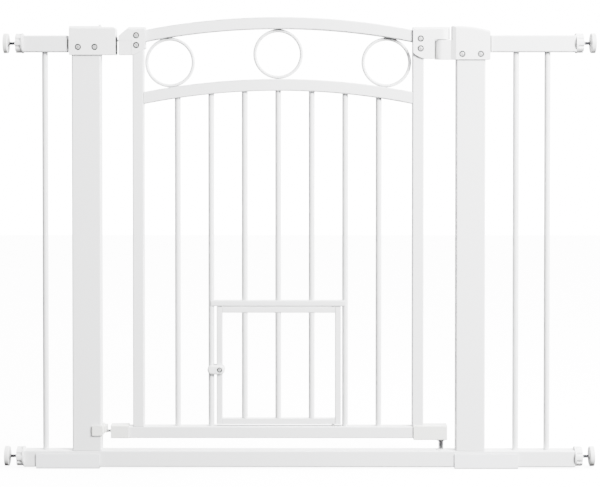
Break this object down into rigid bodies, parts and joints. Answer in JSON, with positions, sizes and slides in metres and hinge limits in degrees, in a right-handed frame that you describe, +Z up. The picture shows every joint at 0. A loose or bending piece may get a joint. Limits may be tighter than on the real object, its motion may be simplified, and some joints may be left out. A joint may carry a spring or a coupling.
{
  "type": "safety gate",
  "caption": "Pressure-fit child safety gate with an arched lift-and-swing door, a small pet door with a turn latch, and hand-tightened wall spindles.",
  "frame": {"origin": "middle of the gate's length and depth, on the floor under the joint brackets", "axes": "+X along the gate to the hinge side, -Y towards the front with the screw heads, +Z up"},
  "size_m": [0.997, 0.0336, 0.762],
  "materials": {
    "white_paint": "white powder coat, satin",
    "white_plastic": "moulded white plastic, low gloss",
    "warm_white_plastic": "moulded off-white nylon",
    "dark_rubber": "black rubber strip",
    "pad_plastic": "moulded off-white plastic",
    "bright_steel": "zinc-plated steel",
    "zinc_steel": "zinc-plated threaded steel"
  },
  "bodies": {
    "frame": {"bottom_bar": "white_paint", "left_post": "white_paint", "right_post": "white_paint", "left_post_head_front": "white_plastic", "left_post_head_rear": "white_plastic", "right_post_head_front": "white_plastic", "right_post_head_rear": "white_plastic", "post_head_screws": "bright_steel", "closing_buffer": "dark_rubber", "bottom_catch": "warm_white_plastic", "lower_hinge_bush": "white_plastic", "joint_brackets": "white_paint", "left_extension_rails": "white_paint", "right_extension_rails": "white_paint", "extension_bars": "white_paint", "extension_plugs": "white_plastic", "rail_end_caps": "white_plastic"},
    "lock_slider": {"lock_slider": "white_plastic", "lock_spring": "bright_steel"},
    "hinge_pins": {"upper_hinge_pin": "bright_steel", "hinge_washer": "bright_steel", "lower_hinge_pin": "bright_steel"},
    "door": {"left_stile": "white_paint", "right_stile": "white_paint", "door_bottom_rail": "white_paint", "upper_arch": "white_paint", "lower_arch": "white_paint", "left_ring": "white_paint", "middle_ring": "white_paint", "right_ring": "white_paint", "long_bars": "white_paint", "short_bars": "white_paint", "header_rail": "white_paint", "latch_head_front": "white_plastic", "latch_head_rear": "white_plastic", "hinge_head_front": "white_plastic", "hinge_head_rear": "white_plastic", "door_head_screws": "bright_steel", "lower_latch_sleeve": "warm_white_plastic", "latch_pin": "bright_steel", "lower_hinge_sleeve": "warm_white_plastic"},
    "pet_door": {"pet_stiles": "white_paint", "pet_rails": "white_paint", "pet_bars": "white_paint", "pet_hinge_pins": "bright_steel"},
    "pet_latch": {"pet_latch_front": "white_plastic", "pet_latch_rear": "white_plastic", "pet_latch_screw": "bright_steel"},
    "upper_left_spindle": {"upper_left_rod": "zinc_steel", "upper_left_pad": "pad_plastic"},
    "upper_left_nut": {"upper_left_nut": "white_plastic"},
    "upper_right_spindle": {"upper_right_rod": "zinc_steel", "upper_right_pad": "pad_plastic"},
    "upper_right_nut": {"upper_right_nut": "white_plastic"},
    "lower_left_spindle": {"lower_left_rod": "zinc_steel", "lower_left_pad": "pad_plastic"},
    "lower_left_nut": {"lower_left_nut": "white_plastic"},
    "lower_right_spindle": {"lower_right_rod": "zinc_steel", "lower_right_pad": "pad_plastic"},
    "lower_right_nut": {"lower_right_nut": "white_plastic"}
  },
  "joints": [
    {"name": "lock_slide", "type": "slide", "parent": "frame", "child": "lock_slider", "axis": [1, 0, 0], "range_m": [-0.008, 0], "stiffness_N_per_m": 150, "springref_m": 0.01},
    {"name": "door_lift", "type": "slide", "parent": "frame", "child": "hinge_pins", "axis": [0, 0, 1], "range_m": [0, 0.014]},
    {"name": "door_swing", "type": "hinge", "parent": "hinge_pins", "child": "door", "pos_m": [0.24, 0, 0.38], "axis": [0, 0, 1], "range_deg": [-90, 90]},
    {"name": "pet_door_swing", "type": "hinge", "parent": "door", "child": "pet_door", "pos_m": [0.05717, 0, 0.173], "axis": [0, 0, 1], "range_deg": [-90, 90]},
    {"name": "pet_latch_turn", "type": "hinge", "parent": "pet_door", "child": "pet_latch", "pos_m": [-0.13487, 0, 0.1665], "axis": [0, 1, 0], "range_deg": [0, 90]},
    {"name": "upper_left_spindle_slide", "type": "slide", "parent": "frame", "child": "upper_left_spindle", "axis": [-1, 0, 0], "range_m": [-0.0105, 0.024]},
    {"name": "upper_left_nut_turn", "type": "hinge", "parent": "frame", "child": "upper_left_nut", "pos_m": [-0.472, 0, 0.718], "axis": [-1, 0, 0], "range_deg": [-2520, 5760]},
    {"name": "upper_right_spindle_slide", "type": "slide", "parent": "frame", "child": "upper_right_spindle", "axis": [1, 0, 0], "range_m": [-0.0105, 0.024]},
    {"name": "upper_right_nut_turn", "type": "hinge", "parent": "frame", "child": "upper_right_nut", "pos_m": [0.472, 0, 0.718], "axis": [1, 0, 0], "range_deg": [-2520, 5760]},
    {"name": "lower_left_spindle_slide", "type": "slide", "parent": "frame", "child": "lower_left_spindle", "axis": [-1, 0, 0], "range_m": [-0.0105, 0.024]},
    {"name": "lower_left_nut_turn", "type": "hinge", "parent": "frame", "child": "lower_left_nut", "pos_m": [-0.472, 0, 0.019], "axis": [-1, 0, 0], "range_deg": [-2520, 5760]},
    {"name": "lower_right_spindle_slide", "type": "slide", "parent": "frame", "child": "lower_right_spindle", "axis": [1, 0, 0], "range_m": [-0.0105, 0.024]},
    {"name": "lower_right_nut_turn", "type": "hinge", "parent": "frame", "child": "lower_right_nut", "pos_m": [0.472, 0, 0.019], "axis": [1, 0, 0], "range_deg": [-2520, 5760]}
  ],
  "couplings": [
    {"joint": "upper_left_nut_turn", "follows": "upper_left_spindle_slide", "rad_per_m": 4188.8},
    {"joint": "upper_right_nut_turn", "follows": "upper_right_spindle_slide", "rad_per_m": 4188.8},
    {"joint": "lower_left_nut_turn", "follows": "lower_left_spindle_slide", "rad_per_m": 4188.8},
    {"joint": "lower_right_nut_turn", "follows": "lower_right_spindle_slide", "rad_per_m": 4188.8}
  ]
}
